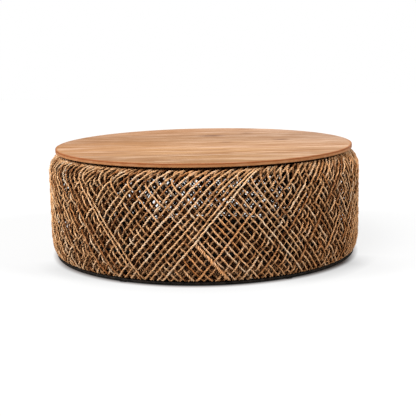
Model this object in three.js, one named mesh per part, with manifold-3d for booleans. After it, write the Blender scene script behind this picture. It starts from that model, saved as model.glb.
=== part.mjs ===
// Round drum coffee table: a thin teak top on an iron frame that is wound with rope.
// Millimetres, +Z up, origin on the floor at the middle of the drum.

import * as THREE from 'three'
import { mergeVertices } from 'three/addons/utils/BufferGeometryUtils.js'
import Module from 'manifold-3d'

const wasm = await Module()
wasm.setup()

// Whole table
const tableDiameter = 980
const tableHeight = 340
const seatGap = 0.3 // between pieces that touch
const cutOverrun = 1 // how far a hole runs past the face that it opens

// Teak top
const topInset = 22.5 // rim of the top to the drum's outside
const topThickness = 11
const boardCount = 9
const rimStepsPerBoard = 8

// Rope and its two nested windings
const ropeDiameter = 8
const ropeSides = 3
const ropeCornerShare = 0.6 // centre to corner of the faceted rope, of its diameter
const nestClearance = 0.9 // between the outer winding and the inner one
const loopsPerWinding = 24
const windingsPerNest = 3
const leanLoops = 6 // loops that a strand passes on its way up the wall
const topUnderClearance = 1.7 // rope to the underside of the top
const baseClearance = 0.6 // rope to the base ring
const shoulderReach = 41 // rounding at the top of the wall, inwards
const shoulderDrop = 53 // and downwards
const footReach = 18 // rounding at the bottom of the wall, inwards
const footRise = 70 // and upwards
const innerRunReach = 19 // from the highest turn to the run down the inside
const innerRunDrop = 8 // the rope dips this much before it turns down inside

// Iron frame
const barDiameter = 10
const barSides = 6
const ringSteps = 48
const turnClearance = 0.8 // rope to the two rings that it turns round
const ribCount = 12
const ribSize = 8
const ribBendRadius = 12

// Cross bars and their screws
const crossBarWidth = 16
const crossBarThickness = 5
const crossBarFootLength = 12
const screwHeadDiameter = 9
const screwHeadHeight = 3
const screwShankDiameter = 4
const screwBite = 7 // depth of the screw in the teak
const screwTipLength = 2
const screwClearance = 0.3
const endScrewInset = 88 // end of the long bar to its outer screw
const longBarScrewShares = [1 / 3, 1] // places of its screws, of the outer screw's radius

// Base ring, studs and glides
const glideDiameter = 26
const glideHeight = 2
const glideSides = 12
const baseRingThickness = 8.6
const baseRingInset = 9 // outer edge of the ring to the drum's outside
const baseRingWidth = 34
const studCount = 6
const studDiameter = 8
const studSides = 8

// Heights and radii that follow
const topUnderside = tableHeight - topThickness
const topRadius = tableDiameter / 2 - topInset
const ropeCorner = ropeDiameter * ropeCornerShare
const ropeFlat = ropeCorner * Math.cos(Math.PI / ropeSides)
const loopPitch = (2 * Math.PI) / (loopsPerWinding * windingsPerNest)
const lean = leanLoops * loopPitch
const nestStep = ropeCorner + ropeFlat + nestClearance

const baseRingTop = glideHeight + seatGap + baseRingThickness
const outerNest = {
  wallRadius: tableDiameter / 2 - ropeCorner,
  topHeight: topUnderside - topUnderClearance - ropeCorner,
  bottomHeight: baseRingTop + baseClearance + ropeCorner,
}

const barRadius = barDiameter / 2
const barFlat = barRadius * Math.cos(Math.PI / barSides)
const halfRingStep = Math.PI / ringSteps
const ringFlatShare = Math.cos(halfRingStep) // a ring's flat lies this share of its radius out

// One loop of the outer winding, seen in section: [radius, height, share of the lean] from the foot
// up the outside and over the top. The run from the last point to the next loop's first is straight.
const footLeanShares = [-0.02, 0, 0.05, 0.253]
const wallLeanShares = [0.442, 0.631]
const shoulderLeanShares = [0.82, 0.95, 1, 1.02]
const footArcAngle = -50 * (Math.PI / 180)
const shoulderArcAngle = 45 * (Math.PI / 180)
const footIndex = 1
const crestIndex = 8

function loopSection() {
  const { wallRadius, topHeight, bottomHeight } = outerNest
  const foot = [wallRadius - footReach, bottomHeight + footRise]
  const shoulder = [wallRadius - shoulderReach, topHeight - shoulderDrop]
  const inner = shoulder[0] - innerRunReach
  const onArc = (centre, reach, rise, angle) => [
    centre[0] + reach * Math.cos(angle),
    centre[1] + rise * Math.sin(angle),
  ]
  const wallHeight = (place) => foot[1] + ((shoulder[1] - foot[1]) * place) / (wallLeanShares.length + 1)
  return [
    [inner, bottomHeight + innerRunDrop, footLeanShares[0]],
    [foot[0], bottomHeight, footLeanShares[1]],
    [...onArc(foot, footReach, footRise, footArcAngle), footLeanShares[2]],
    [wallRadius, foot[1], footLeanShares[3]],
    ...wallLeanShares.map((share, index) => [wallRadius, wallHeight(index + 1), share]),
    [wallRadius, shoulder[1], shoulderLeanShares[0]],
    [...onArc(shoulder, shoulderReach, shoulderDrop, shoulderArcAngle), shoulderLeanShares[1]],
    [shoulder[0], topHeight, shoulderLeanShares[2]],
    [inner, topHeight - innerRunDrop, shoulderLeanShares[3]],
  ]
}

// The outward direction at each point of a section, halfway between its two sides
function sectionNormals(section) {
  return section.map(([radius, height], index) => {
    const before = section[(index + section.length - 1) % section.length]
    const after = section[(index + 1) % section.length]
    const arriving = new THREE.Vector2(height - before[1], before[0] - radius).normalize()
    const leaving = new THREE.Vector2(after[1] - height, radius - after[0]).normalize()
    const outward = arriving.clone().add(leaving).normalize()
    return { outward, turnShare: outward.dot(arriving) }
  })
}

// The same section with each of its sides moved inwards by a distance
function insetSection(section, distance) {
  const normals = sectionNormals(section)
  return section.map(([radius, height, share], index) => {
    const { outward, turnShare } = normals[index]
    return [radius - (outward.x * distance) / turnShare, height - (outward.y * distance) / turnShare, share]
  })
}

const outerSection = loopSection()
const innerSection = insetSection(outerSection, nestStep)

// The strand's chord between two points of the wall dips inside the wall by this share of its radius
const wallStep = (wallLeanShares[1] - wallLeanShares[0]) * lean
const chordDipShare = 1 - Math.cos(wallStep / 2)
const wallRingRadius =
  (outerNest.wallRadius - nestStep) * (1 - chordDipShare) - ropeFlat - seatGap - barRadius
const shoulderRingHeight = outerNest.topHeight - shoulderDrop
const lowerRingHeight = outerNest.bottomHeight + footRise
const middleRingHeight = (shoulderRingHeight + lowerRingHeight) / 2

// The rope turns round the top ring and the bottom ring, so they follow the inner winding's section
const turnSection = insetSection(innerSection, ropeFlat + turnClearance + barRadius)
const [topRingRadius, topRingHeight] = turnSection[crestIndex]
const [bottomRingRadius, bottomRingHeight] = turnSection[footIndex]

// Materials
const teak = new THREE.MeshStandardMaterial({ color: 0xc08f63, roughness: 0.55, metalness: 0 })
const rope = new THREE.MeshStandardMaterial({ color: 0xa27845, roughness: 0.9, metalness: 0 })
const shadedRope = new THREE.MeshStandardMaterial({ color: 0x7d5a33, roughness: 0.92, metalness: 0 })
const blackIron = new THREE.MeshStandardMaterial({ color: 0x17171a, roughness: 0.5, metalness: 0.6 })
const zinc = new THREE.MeshStandardMaterial({ color: 0x9a9a98, roughness: 0.4, metalness: 0.9 })
const blackPlastic = new THREE.MeshStandardMaterial({ color: 0x101010, roughness: 0.7, metalness: 0 })

const table = new THREE.Group()

function addPiece(name, geometry, material) {
  const piece = new THREE.Mesh(geometry, material)
  piece.name = name
  table.add(piece)
  return piece
}

// A closed three.js geometry as a solid that can be cut, and back again
function toSolid(geometry) {
  const bare = geometry.clone()
  bare.deleteAttribute('normal')
  bare.deleteAttribute('uv')
  const merged = mergeVertices(bare)
  return new wasm.Manifold(
    new wasm.Mesh({
      numProp: 3,
      vertProperties: new Float32Array(merged.attributes.position.array),
      triVerts: new Uint32Array(merged.index.array),
    }),
  )
}

function toGeometry(solid) {
  const { vertProperties, triVerts } = solid.getMesh()
  const geometry = new THREE.BufferGeometry()
  geometry.setAttribute('position', new THREE.BufferAttribute(new Float32Array(vertProperties), 3))
  geometry.setIndex(new THREE.BufferAttribute(new Uint32Array(triVerts), 1))
  geometry.computeVertexNormals()
  return geometry
}

function cutHoles(geometry, holes) {
  return toGeometry(holes.reduce((solid, hole) => solid.subtract(toSolid(hole)), toSolid(geometry)))
}

// A solid of revolution about Z from [radius, height] pairs that start and end on the axis or close
function turned(pairs, steps) {
  const profile = pairs.map(([radius, height]) => new THREE.Vector2(radius, height))
  return new THREE.LatheGeometry(profile, steps).rotateX(Math.PI / 2)
}

// An outline of [radius, height] pairs in the XZ plane, given a width across Y
function flatBar(pairs, width) {
  const outline = new THREE.Shape(pairs.map(([radius, height]) => new THREE.Vector2(radius, height)))
  return new THREE.ExtrudeGeometry(outline, { depth: width, bevelEnabled: false })
    .translate(0, 0, -width / 2)
    .rotateX(Math.PI / 2)
}

function around(radius, angle, height) {
  return new THREE.Vector3(radius * Math.cos(angle), radius * Math.sin(angle), height)
}

// Screws: the long bar lies under the middle board, the half bars cross the others
const boardWidth = (2 * topRadius) / boardCount
const barEnd = topRingRadius + barRadius
const longBarScrewRadii = longBarScrewShares.map((share) => share * (barEnd - endScrewInset))
const halfBarScrewRadii = [boardWidth, 3 * boardWidth]
const screwPlaces = [
  ...longBarScrewRadii.map((radius) => around(radius, 0, 0)),
  ...longBarScrewRadii.map((radius) => around(radius, Math.PI, 0)),
  ...halfBarScrewRadii.map((radius) => around(radius, Math.PI / 2, 0)),
  ...halfBarScrewRadii.map((radius) => around(radius, -Math.PI / 2, 0)),
]
const barTop = topUnderside - seatGap
const barUnderside = barTop - crossBarThickness
const screwTip = topUnderside + screwBite

function screwHole(place) {
  const bottom = barUnderside - cutOverrun
  const top = screwTip + screwClearance
  return new THREE.CylinderGeometry(
    screwShankDiameter / 2 + screwClearance,
    screwShankDiameter / 2 + screwClearance,
    top - bottom,
    studSides,
  )
    .rotateX(Math.PI / 2)
    .translate(place.x, place.y, (bottom + top) / 2)
}

function addTopBoards() {
  for (let board = 0; board < boardCount; board += 1) {
    const front = board === 0 ? -topRadius : -topRadius + board * boardWidth + seatGap / 2
    const back = board === boardCount - 1 ? topRadius : -topRadius + (board + 1) * boardWidth - seatGap / 2
    const frontAngle = Math.asin(front / topRadius)
    const backAngle = Math.asin(back / topRadius)
    const outline = new THREE.Shape()
    outline.absarc(0, 0, topRadius, frontAngle, backAngle, false)
    outline.absarc(0, 0, topRadius, Math.PI - backAngle, Math.PI - frontAngle, false)
    const slab = new THREE.ExtrudeGeometry(outline, {
      depth: topThickness,
      bevelEnabled: false,
      curveSegments: rimStepsPerBoard,
    }).translate(0, 0, topUnderside)
    const holes = screwPlaces.filter((place) => place.y > front && place.y < back).map(screwHole)
    addPiece(`top_board_${board + 1}`, holes.length ? cutHoles(slab, holes) : slab, teak)
  }
}

// One side of a cross bar, from a start near the middle to its foot on the top ring
function crossBarSide(start) {
  const footBottom = topRingHeight + barFlat + seatGap
  const footTop = footBottom + crossBarThickness
  const footStart = barEnd - crossBarFootLength
  const rampStart = footStart - (barTop - footTop)
  const underShift = crossBarThickness * Math.tan(Math.PI / 8)
  return {
    upper: [[start, barTop], [rampStart, barTop], [footStart, footTop], [barEnd, footTop]],
    lower: [
      [barEnd, footBottom],
      [footStart - underShift, footBottom],
      [rampStart - underShift, barUnderside],
      [start, barUnderside],
    ],
  }
}

function addCrossBars() {
  const mirrored = (pairs) => pairs.map(([radius, height]) => [-radius, height]).reverse()
  const right = crossBarSide(0)
  const longOutline = [
    ...right.upper.slice(1),
    ...right.lower.slice(0, -1),
    ...mirrored(right.lower.slice(0, -1)),
    ...mirrored(right.upper.slice(1)),
  ]
  const longHoles = screwPlaces.filter((place) => Math.abs(place.y) < crossBarWidth / 2)
  const longBar = flatBar(longOutline, crossBarWidth)
  addPiece('cross_bar_long', cutHoles(longBar, longHoles.map(screwHole)), blackIron)

  const side = crossBarSide(crossBarWidth / 2 + seatGap)
  for (const [name, angle] of [['cross_bar_back', Math.PI / 2], ['cross_bar_front', -Math.PI / 2]]) {
    const bar = flatBar([...side.upper, ...side.lower], crossBarWidth).rotateZ(angle)
    const holes = screwPlaces.filter((place) => place.y * Math.sin(angle) > crossBarWidth / 2)
    addPiece(name, cutHoles(bar, holes.map(screwHole)), blackIron)
  }
}

function addScrews() {
  const headTop = barUnderside - seatGap
  const shankRadius = screwShankDiameter / 2
  const screw = [
    [0, headTop - screwHeadHeight],
    [screwHeadDiameter / 2, headTop - screwHeadHeight],
    [screwHeadDiameter / 2, headTop],
    [shankRadius, headTop],
    [shankRadius, screwTip - screwTipLength],
    [0, screwTip],
  ]
  screwPlaces.forEach((place, index) => {
    addPiece(`top_screw_${index + 1}`, turned(screw, studSides), zinc).position.copy(place)
  })
}

function addRings() {
  const rings = [
    ['top_ring', topRingRadius, topRingHeight],
    ['shoulder_ring', wallRingRadius, shoulderRingHeight],
    ['middle_ring', wallRingRadius, middleRingHeight],
    ['lower_ring', wallRingRadius, lowerRingHeight],
    ['bottom_ring', bottomRingRadius, bottomRingHeight],
  ]
  for (const [name, radius, height] of rings) {
    const ring = new THREE.TorusGeometry(radius, barRadius, barSides, ringSteps).rotateZ(halfRingStep)
    addPiece(name, ring, blackIron).position.set(0, 0, height)
  }
}

// A rib stands on the bottom ring, inside the wall rings, and its head turns in under the top ring
function addRibs() {
  const outside = (wallRingRadius - barRadius) * ringFlatShare - seatGap
  const inside = outside - ribSize
  const top = topRingHeight - barFlat - seatGap
  const bottom = bottomRingHeight + barFlat + seatGap
  const headEnd = topRingRadius - barRadius
  const outline = new THREE.Shape()
  outline.moveTo(headEnd, top)
  outline.lineTo(headEnd, top - ribSize)
  outline.lineTo(inside, top - ribSize)
  outline.lineTo(inside, bottom)
  outline.lineTo(outside, bottom)
  outline.absarc(outside - ribBendRadius, top - ribBendRadius, ribBendRadius, 0, Math.PI / 2, false)
  const rib = new THREE.ExtrudeGeometry(outline, { depth: ribSize, bevelEnabled: false, curveSegments: 3 })
    .translate(0, 0, -ribSize / 2)
    .rotateX(Math.PI / 2)
  for (let index = 0; index < ribCount; index += 1) {
    addPiece(`frame_rib_${index + 1}`, rib, blackIron).rotation.z = (index * 2 * Math.PI) / ribCount
  }
}

function addBase() {
  const outer = tableDiameter / 2 - baseRingInset
  const inner = outer - baseRingWidth
  const underside = glideHeight + seatGap
  const section = [
    [outer, underside],
    [outer, baseRingTop],
    [inner, baseRingTop],
    [inner, underside],
    [outer, underside],
  ]
  addPiece('base_ring', turned(section, ringSteps).rotateZ(halfRingStep), blackIron)

  const studBottom = baseRingTop + seatGap
  const studTop = bottomRingHeight - barFlat - seatGap
  const upright = (diameter, height, sides) =>
    new THREE.CylinderGeometry(diameter / 2, diameter / 2, height, sides).rotateX(Math.PI / 2)
  const stud = upright(studDiameter, studTop - studBottom, studSides)
  const glide = upright(glideDiameter, glideHeight, glideSides)
  for (let index = 0; index < studCount; index += 1) {
    const angle = (index * 2 * Math.PI) / studCount
    addPiece(`foot_stud_${index + 1}`, stud, blackIron)
      .position.copy(around(bottomRingRadius, angle, (studBottom + studTop) / 2))
    addPiece(`floor_glide_${index + 1}`, glide, blackPlastic)
      .position.copy(around(outer - baseRingWidth / 2, angle, glideHeight / 2))
  }
}

// The centre line of one winding. It starts and ends halfway down the inner run, where the rope is
// straight, a seat gap short of the next winding of the nest.
function windingRoute(section, turn, startAngle) {
  const normals = sectionNormals(section)
  const points = []
  const outward = []
  const addPoint = (loop, index) => {
    const [radius, height, share] = section[index]
    const angle = startAngle + turn * (loop * loopPitch + share * lean)
    points.push(around(radius, angle, height))
    outward.push(around(normals[index].outward.x, angle, normals[index].outward.y))
  }
  addPoint(-1, section.length - 1)
  for (let loop = 0; loop < loopsPerWinding; loop += 1) {
    section.forEach((_, index) => addPoint(loop, index))
  }
  addPoint(loopsPerWinding, 0)
  const halfway = (from, to) => {
    const run = to.clone().sub(from)
    return from.clone().addScaledVector(run, (run.length() / 2 + seatGap / 2) / run.length())
  }
  const last = points.length - 1
  const start = halfway(points[0], points[1])
  const end = halfway(points[last], points[last - 1])
  outward[0] = outward[0].clone().add(outward[1]).normalize()
  outward[last] = outward[last].clone().add(outward[last - 1]).normalize()
  points[0] = start
  points[last] = end
  return { points, outward }
}

// One unbroken tube through the points, with a corner of its section turned outwards
function ropeTube({ points, outward }) {
  const last = points.length - 1
  const positions = []
  const triangles = []
  points.forEach((point, index) => {
    const along = new THREE.Vector3()
    if (index > 0) along.add(point.clone().sub(points[index - 1]).normalize())
    if (index < last) along.add(points[index + 1].clone().sub(point).normalize())
    along.normalize()
    const out = outward[index].clone().addScaledVector(along, -outward[index].dot(along)).normalize()
    const across = along.clone().cross(out)
    for (let side = 0; side < ropeSides; side += 1) {
      const angle = (side * 2 * Math.PI) / ropeSides
      const corner = point
        .clone()
        .addScaledVector(out, ropeCorner * Math.cos(angle))
        .addScaledVector(across, ropeCorner * Math.sin(angle))
      positions.push(corner.x, corner.y, corner.z)
    }
  })
  for (let index = 0; index < last; index += 1) {
    for (let side = 0; side < ropeSides; side += 1) {
      const next = (side + 1) % ropeSides
      const a = index * ropeSides + side
      const b = index * ropeSides + next
      triangles.push(a, b, b + ropeSides, a, b + ropeSides, a + ropeSides)
    }
  }
  for (let side = 1; side < ropeSides - 1; side += 1) {
    triangles.push(0, side + 1, side)
    triangles.push(last * ropeSides, last * ropeSides + side, last * ropeSides + side + 1)
  }
  const tube = new THREE.BufferGeometry()
  tube.setAttribute('position', new THREE.Float32BufferAttribute(positions, 3))
  tube.setIndex(triangles)
  tube.computeVertexNormals()
  return tube
}

// The least gap between stretches of one rope that lie more than a few diameters apart along it
function leastGap(points) {
  const samples = []
  let run = 0
  for (let index = 1; index < points.length; index += 1) {
    const from = points[index - 1]
    const length = from.distanceTo(points[index])
    const steps = Math.ceil(length / ropeDiameter)
    for (let step = 0; step < steps; step += 1) {
      samples.push([from.clone().lerp(points[index], step / steps), run + (length * step) / steps])
    }
    run += length
  }
  let least = Infinity
  for (let first = 0; first < samples.length; first += 1) {
    for (let second = first + 1; second < samples.length; second += 1) {
      if (samples[second][1] - samples[first][1] < 4 * ropeDiameter) continue
      least = Math.min(least, samples[first][0].distanceTo(samples[second][0]))
    }
  }
  return least - ropeDiameter
}

function addWindings() {
  const nests = [
    ['rope_outer', outerSection, 1, rope],
    ['rope_inner', innerSection, -1, shadedRope],
  ]
  for (const [name, section, turn, material] of nests) {
    for (let winding = 0; winding < windingsPerNest; winding += 1) {
      const startAngle = loopPitch / 2 + (winding * 2 * Math.PI) / windingsPerNest
      const route = windingRoute(section, turn, startAngle)
      addPiece(`${name}_${winding + 1}`, ropeTube(route), material)
      console.log(`${name}_${winding + 1}: least gap to itself ${leastGap(route.points).toFixed(1)} mm`)
    }
  }
}

addTopBoards()
addCrossBars()
addScrews()
addRings()
addRibs()
addBase()
addWindings()

export default table
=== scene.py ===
# Round drum coffee table: a teak top on an iron frame wound with two-ply rope.
# Metres, +Z up, the front of the table towards -Y.

import math

import bmesh
import bpy
import numpy as np
from mathutils import Matrix, Vector


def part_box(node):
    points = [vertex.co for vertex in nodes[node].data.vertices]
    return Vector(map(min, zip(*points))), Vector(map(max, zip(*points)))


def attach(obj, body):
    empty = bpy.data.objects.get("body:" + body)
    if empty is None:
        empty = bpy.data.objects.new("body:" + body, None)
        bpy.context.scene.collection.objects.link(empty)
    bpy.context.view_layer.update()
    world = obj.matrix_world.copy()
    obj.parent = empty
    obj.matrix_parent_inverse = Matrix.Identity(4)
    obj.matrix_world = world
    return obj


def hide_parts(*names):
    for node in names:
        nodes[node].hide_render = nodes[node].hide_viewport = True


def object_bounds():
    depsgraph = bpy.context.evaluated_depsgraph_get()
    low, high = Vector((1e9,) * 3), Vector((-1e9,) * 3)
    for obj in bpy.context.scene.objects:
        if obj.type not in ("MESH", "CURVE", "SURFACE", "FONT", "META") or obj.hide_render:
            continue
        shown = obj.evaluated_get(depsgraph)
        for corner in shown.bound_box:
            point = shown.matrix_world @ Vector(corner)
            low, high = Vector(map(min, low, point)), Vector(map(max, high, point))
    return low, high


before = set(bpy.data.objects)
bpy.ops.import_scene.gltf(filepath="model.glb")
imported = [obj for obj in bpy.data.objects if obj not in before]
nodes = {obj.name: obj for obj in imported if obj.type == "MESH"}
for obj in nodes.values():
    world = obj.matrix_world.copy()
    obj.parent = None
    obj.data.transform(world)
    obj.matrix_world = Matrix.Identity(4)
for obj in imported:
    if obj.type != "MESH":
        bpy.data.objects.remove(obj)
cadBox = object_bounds()
scene = bpy.context.scene
body = "root"
millimetre = 0.001
print("frame loaded:", len(nodes), "nodes")


# Camera, matched to the photograph's frame of 416 by 416 pixels
cameraSetup = {
    "frameSize": 416,
    "focalPixels": 930,
    "sensorWidth": 36.0,
    "distance": 2.995,
    "elevation": 9.95,
    "roll": -1.13,
    "targetHeight": 0.17,
    "targetPixel": (204.5, 195.7),
}


def makeCamera(c):
    data = bpy.data.cameras.new("camera")
    data.sensor_width = c["sensorWidth"]
    data.lens = c["sensorWidth"] * c["focalPixels"] / c["frameSize"]
    middle = c["frameSize"] / 2
    data.shift_x = (middle - c["targetPixel"][0]) / c["frameSize"]
    data.shift_y = (c["targetPixel"][1] - middle) / c["frameSize"]
    data.clip_start = 0.1
    data.clip_end = 100.0
    tilt = math.radians(c["elevation"])
    back = Vector((0.0, -math.cos(tilt), math.sin(tilt)))
    turn = Matrix.Rotation(math.radians(c["roll"]), 4, "Z")
    camera = bpy.data.objects.new("camera", data)
    camera.matrix_world = (
        Matrix.Translation(Vector((0, 0, c["targetHeight"])) + back * c["distance"])
        @ back.to_track_quat("Z", "Y").to_matrix().to_4x4()
        @ turn
    )
    scene.collection.objects.link(camera)
    scene.camera = camera
    print("camera ready")


makeCamera(cameraSetup)


# Small helpers for meshes, node trees and finished pieces
def finishPiece(piece, replaced=()):
    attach(piece, body)
    if replaced:
        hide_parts(*replaced)
    return piece


def linkMesh(name, mesh):
    piece = bpy.data.objects.new(name, mesh)
    scene.collection.objects.link(piece)
    return piece


def modifierInput(tree, modifier, name, value):
    for item in tree.interface.items_tree:
        if item.item_type == "SOCKET" and item.in_out == "INPUT" and item.name == name:
            modifier[item.identifier] = value


def bakeNodes(name, source, tree, values):
    # runs a Geometry Nodes tree on the source and keeps the result as a plain mesh
    modifier = source.modifiers.new("nodes", "NODES")
    modifier.node_group = tree
    for key, value in values.items():
        modifierInput(tree, modifier, key, value)
    depsgraph = bpy.context.evaluated_depsgraph_get()
    mesh = bpy.data.meshes.new_from_object(source.evaluated_get(depsgraph), depsgraph=depsgraph)
    mesh.name = name
    source.modifiers.remove(modifier)
    bpy.data.objects.remove(source)
    return linkMesh(name, mesh)


def newTree(name, kind, inputs, outputs):
    tree = bpy.data.node_groups.new(name, kind)
    for socketName, socketKind, value in inputs:
        socket = tree.interface.new_socket(socketName, in_out="INPUT", socket_type=socketKind)
        if value is not None:
            socket.default_value = value
    for socketName, socketKind in outputs:
        tree.interface.new_socket(socketName, in_out="OUTPUT", socket_type=socketKind)
    return tree, addNode(tree, "NodeGroupInput"), addNode(tree, "NodeGroupOutput")


def addNode(tree, kind, **settings):
    node = tree.nodes.new(kind)
    for key, value in settings.items():
        setattr(node, key, value)
    return node


def mathNode(tree, operation, a, b=None):
    node = addNode(tree, "ShaderNodeMath", operation=operation)
    for index, value in enumerate((a, b)):
        if value is None:
            continue
        if isinstance(value, (int, float)):
            node.inputs[index].default_value = value
        else:
            tree.links.new(value, node.inputs[index])
    return node.outputs[0]


def times(tree, a, b):
    return mathNode(tree, "MULTIPLY", a, b)


def plus(tree, a, b):
    return mathNode(tree, "ADD", a, b)


def vectorNode(tree, operation, a, b=None):
    node = addNode(tree, "ShaderNodeVectorMath", operation=operation)
    tree.links.new(a, node.inputs[0])
    if b is not None:
        tree.links.new(b, node.inputs[1])
    return node


def splitNode(tree, vector):
    node = addNode(tree, "ShaderNodeSeparateXYZ")
    tree.links.new(vector, node.inputs[0])
    return node.outputs


def joinNode(tree, x=None, y=None, z=None):
    node = addNode(tree, "ShaderNodeCombineXYZ")
    for socket, value in zip(node.inputs, (x, y, z)):
        if value is not None:
            tree.links.new(value, socket)
    return node.outputs[0]


# The rope: both directions of the winding, each strand with its own place, thickness and tone
ropeForm = {
    # the rope: two plies with a groove between them, which turns along the strand by so many degrees
    "radius": 2.92 * millimetre,
    "grooveDepth": 0.56,
    "grooveSharpness": 4.6,
    "sides": 8,
    "turnPerRing": 41.0,
    "turnSpread": 0.7,
    "turnSmoothing": 9,
    "turnGain": 3,
    "outerRingStep": 1.9 * millimetre,
    "innerRingStep": 3.8 * millimetre,
    # the section that the winding follows
    "topClearance": 4.6 * millimetre,
    "baseClearance": 0.6 * millimetre,
    "shoulderReach": 41 * millimetre,
    "shoulderDrop": 53 * millimetre,
    "footReach": 15 * millimetre,
    "footRise": 66 * millimetre,
    "innerReach": 19 * millimetre,
    "innerTurnDrop": 26 * millimetre,
    "innerFootRise": 32 * millimetre,
    "arcSteps": 60,
    "overTopSteps": 12,
    "underFootSteps": 18,
    # the layout: how many loops, how many of them a strand leans across, and how evenly they lie
    "seed": 11,
    "loopsPerWay": 144,
    "nodesPerWay": 3,
    "piecesPerNode": 2,
    "windingStart": 92.5,
    "countStep": 0.1,
    "endGap": 0.3 * millimetre,
    "leanLoops": 12.5,
    "leanDrift": 0.5,
    "driftWaves": 3,
    "driftPhase": 1.3,
    "leanJitter": 0.15,
    "meanLean": 28.5,
    "jitter": 0.13,
    "leastSpacing": 0.92,
    "spreadRounds": 60,
    "bandMixing": 0.25,
    "crossingMixing": 0.3,
    "sideMixing": 0.15,
    # degrees round the table: the bend over the shoulder, the turn back of the strands that climb to
    # the left, the turns over the top and under the foot, and the bow of the inner runs
    "crestHook": 3.8,
    "shoulderShare": 0.76,
    "backTurn": 5.0,
    "backTurnLoops": 2,
    "backTurnFrom": 0.80,
    "overTopTurn": 0.6,
    "underFootTurn": 0.8,
    "innerBow": 1.4,
    # the layers: their distance, how far out a strand lies at its foot and at its crest, and from
    # which share of the wall up the strands cross over as a whole layer and then lie side by side
    "layerStep": 8.6 * millimetre,
    "innerDepth": 0.2,
    "footLevel": 0.6,
    "footShare": 0.012,
    "crestLevel": 0.9,
    "crestLevelUnder": 0.7,
    "overlapShare": 0.87,
    "besideFrom": 0.925,
    "onTopBonus": 2,
    "crossingMargin": 0.02,
    "crossingSteps": 400,
    "levelSmoothing": 7,
    "leftShoulder": (-110, -48),
    "openShoulder": (14, 78),
    "crowding": 0.4,
    "crowdingRate": 7,
    # thickness: from strand to strand, along a strand, of doubled strands, at the crest and the foot
    "thicknessSpread": 0.18,
    "thicknessAlong": 0.091,
    "pitchSpread": (0.8, 1.25),
    "thicknessRate": 60,
    "thickEndRate": 3,
    "girthSmoothing": 5,
    "doubled": 1.5,
    "doubledPast": 0.08,
    "doubledRate": 12,
    "crestSwell": 0.34,
    "crestSwellFrom": 0.90,
    "crestSwellRate": 14,
    "footSwell": 0.12,
    "footSwellTo": 0.08,
    "footSwellRate": 16,
    "sideSwell": 0.9,
    # the drum's sides begin at this sine of the angle from its front, and blend in over sideWithin
    "sideFrom": 0.62,
    "sideWithin": 0.18,
    # unevenness: how far a strand strays, and how fast it does so between its foot and its crest
    "wander": 0.9 * millimetre,
    "wanderRate": 14,
    "kink": 0.45 * millimetre,
    "kinkRate": 75,
    "bump": 0.65 * millimetre,
    "bumpRate": 65,
    "sideCalm": 0.5,
    "endRate": 5,
    # tone: how the strands' tones spread, and painted shade: how much darker a strand is painted below
    # others, on the left and the right side, at the crest, and under the top where the top's shadow falls
    "toneSpread": (2.0, 2.0),
    "rednessSpread": (1.4, 2.6),
    "toneSmoothing": 9,
    "shade": 0.30,
    "leftShade": 0.10,
    "rightShade": 0.46,
    "crestShade": 0.26,
    "crestShadeFrom": 0.8,
    "crestShadeRate": 8,
    "hiddenFrom": 0.964,
    "hiddenWithin": 0.012,
}

# Bands of neighbouring strands: direction (1 climbs to the right, -1 to the left), first and last
# foot angle from the front, spacing in degrees, and how late the band was wound, where a later band
# lies on top
ropeBands = [
    (-1, -88, -21, 2.9, 0.84),
    (-1, -21, 24, 2.8, 0.62),
    (-1, 24, 62, 2.4, 0.56),
    (-1, 62, 112, 2.3, 0.36),
    (-1, 112, 165, 2.5, 0.72),
    (-1, 165, 222, 2.6, 0.44),
    (-1, 222, 272, 2.4, 0.62),
    (1, -72, -42, 2.7, 0.60),
    (1, -42, -19, 2.15, 0.74),
    (1, -19, 1, 2.9, 0.22),
    (1, 1, 17, 2.6, 0.60),
    (1, 17, 52, 2.4, 0.40),
    (1, 52, 100, 2.2, 0.68),
    (1, 100, 160, 2.6, 0.40),
    (1, 160, 230, 2.6, 0.70),
    (1, 230, 288, 2.5, 0.50),
]

# Single strands that stand out: direction, foot angle, crest angle, thickness, tone, redness, and
# the shares up the wall between which the strand lies on top
nowhere = (2.0, 2.0)
ropeAccents = [
    (1, -14.8, 18.4, 1.05, 0.84, 0.08, 0.0, 0.90),
    (1, -16.6, 16.7, 0.95, 0.62, 0.15, 0.35, 0.90),
    (1, -21.3, 13.0, 1.00, 0.50, 0.20, *nowhere),
    (1, -19.0, 15.0, 0.95, 0.45, 0.30, *nowhere),
    (1, -11.9, 20.9, 0.95, 0.50, 0.35, *nowhere),
    (1, -8.8, 23.6, 1.00, 0.40, 0.25, *nowhere),
    (1, -5.9, 26.4, 0.90, 0.60, 0.20, *nowhere),
    (1, -0.8, 31.8, 1.00, 0.45, 0.40, *nowhere),
    (-1, 8.0, -20.6, 2.0, 0.60, 0.62, 0.0, 0.34),
    (-1, -20.7, -45.7, 1.05, 0.60, 0.30, 0.0, 0.75),
    (1, -3.4, 29.1, 1.10, 0.55, 0.60, 0.0, 0.6),
]

drumRadius = cadBox[1].x
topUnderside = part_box("top_board_5")[0].z
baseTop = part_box("base_ring")[1].z


def ellipseArc(centre, reach, rise, first, last, count):
    angles = np.radians(np.linspace(first, last, count))
    points = np.stack([centre[0] + reach * np.cos(angles), centre[1] + rise * np.sin(angles)], 1)
    normals = np.stack([np.cos(angles) / reach, np.sin(angles) / rise], 1)
    return points, normals / np.linalg.norm(normals, axis=1, keepdims=True)


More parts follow.
